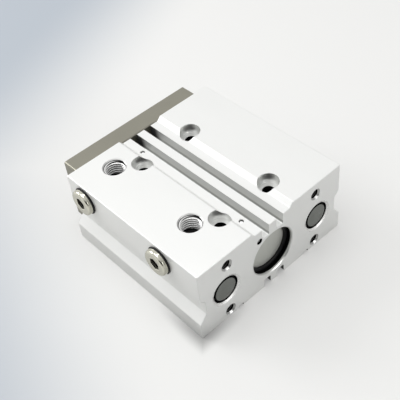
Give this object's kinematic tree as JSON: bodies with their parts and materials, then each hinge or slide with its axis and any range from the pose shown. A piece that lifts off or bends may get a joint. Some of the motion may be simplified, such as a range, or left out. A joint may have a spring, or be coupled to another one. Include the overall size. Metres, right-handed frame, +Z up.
{
  "type": "guided pneumatic cylinder",
  "caption": "Compact pneumatic cylinder: a piston rod between guide rods pushes an end plate out of a flat, slotted aluminium body.",
  "frame": {"origin": "centre of the body's flat base, midway between its milled ends", "axes": "+Y along the stroke, towards the end plate; +Z up from the base; the ports and plugs are on the -X side"},
  "size_m": [0.086, 0.0925, 0.038],
  "materials": {
    "anodised_aluminium": "clear satin anodised, extruded and milled at both ends",
    "turned_aluminium": "turned, dull chromate finish",
    "nickel_plated_steel": "ground and nickel plated",
    "nickel_plated_brass": "bright nickel plated",
    "chromed_steel": "ground, hard chrome plated, ends turned",
    "blackened_steel": "black oxide",
    "ball_steel": "polished hardened steel",
    "bearing_bronze": "oil-filled sintered bronze",
    "black_rubber": "nitrile rubber",
    "magnet_compound": "magnet powder in a plastic binder",
    "slide_ring_plastic": "natural slide ring resin"
  },
  "bodies": {
    "housing": {"body": "anodised_aluminium", "head_cover": "turned_aluminium", "head_cover_gasket": "black_rubber", "head_bumper": "black_rubber", "head_retaining_ring": "blackened_steel", "rod_cover": "turned_aluminium", "rod_cover_gasket": "black_rubber", "rod_bush": "bearing_bronze", "rod_seal": "black_rubber", "rod_cover_bumper": "black_rubber", "rod_retaining_ring": "blackened_steel", "top_passage_balls": "ball_steel", "rear_passage_ball": "ball_steel", "guide_bush_front_left": "bearing_bronze", "guide_bush_rear_left": "bearing_bronze", "guide_bush_front_right": "bearing_bronze", "guide_bush_rear_right": "bearing_bronze", "head_port_plug": "nickel_plated_brass", "rod_port_plug": "nickel_plated_brass", "head_port_plug_seal": "black_rubber", "rod_port_plug_seal": "black_rubber"},
    "carriage": {"piston": "turned_aluminium", "piston_seal": "black_rubber", "piston_magnet": "magnet_compound", "piston_wear_ring": "slide_ring_plastic", "piston_rod": "chromed_steel", "front_plate": "nickel_plated_steel", "guide_rod_bolts": "blackened_steel", "piston_rod_bolt": "blackened_steel", "guide_rod_left": "chromed_steel", "guide_rod_right": "chromed_steel"}
  },
  "joints": [
    {"name": "stroke", "type": "slide", "parent": "housing", "child": "carriage", "axis": [0, 1, 0], "range_m": [0, 0.045]}
  ]
}
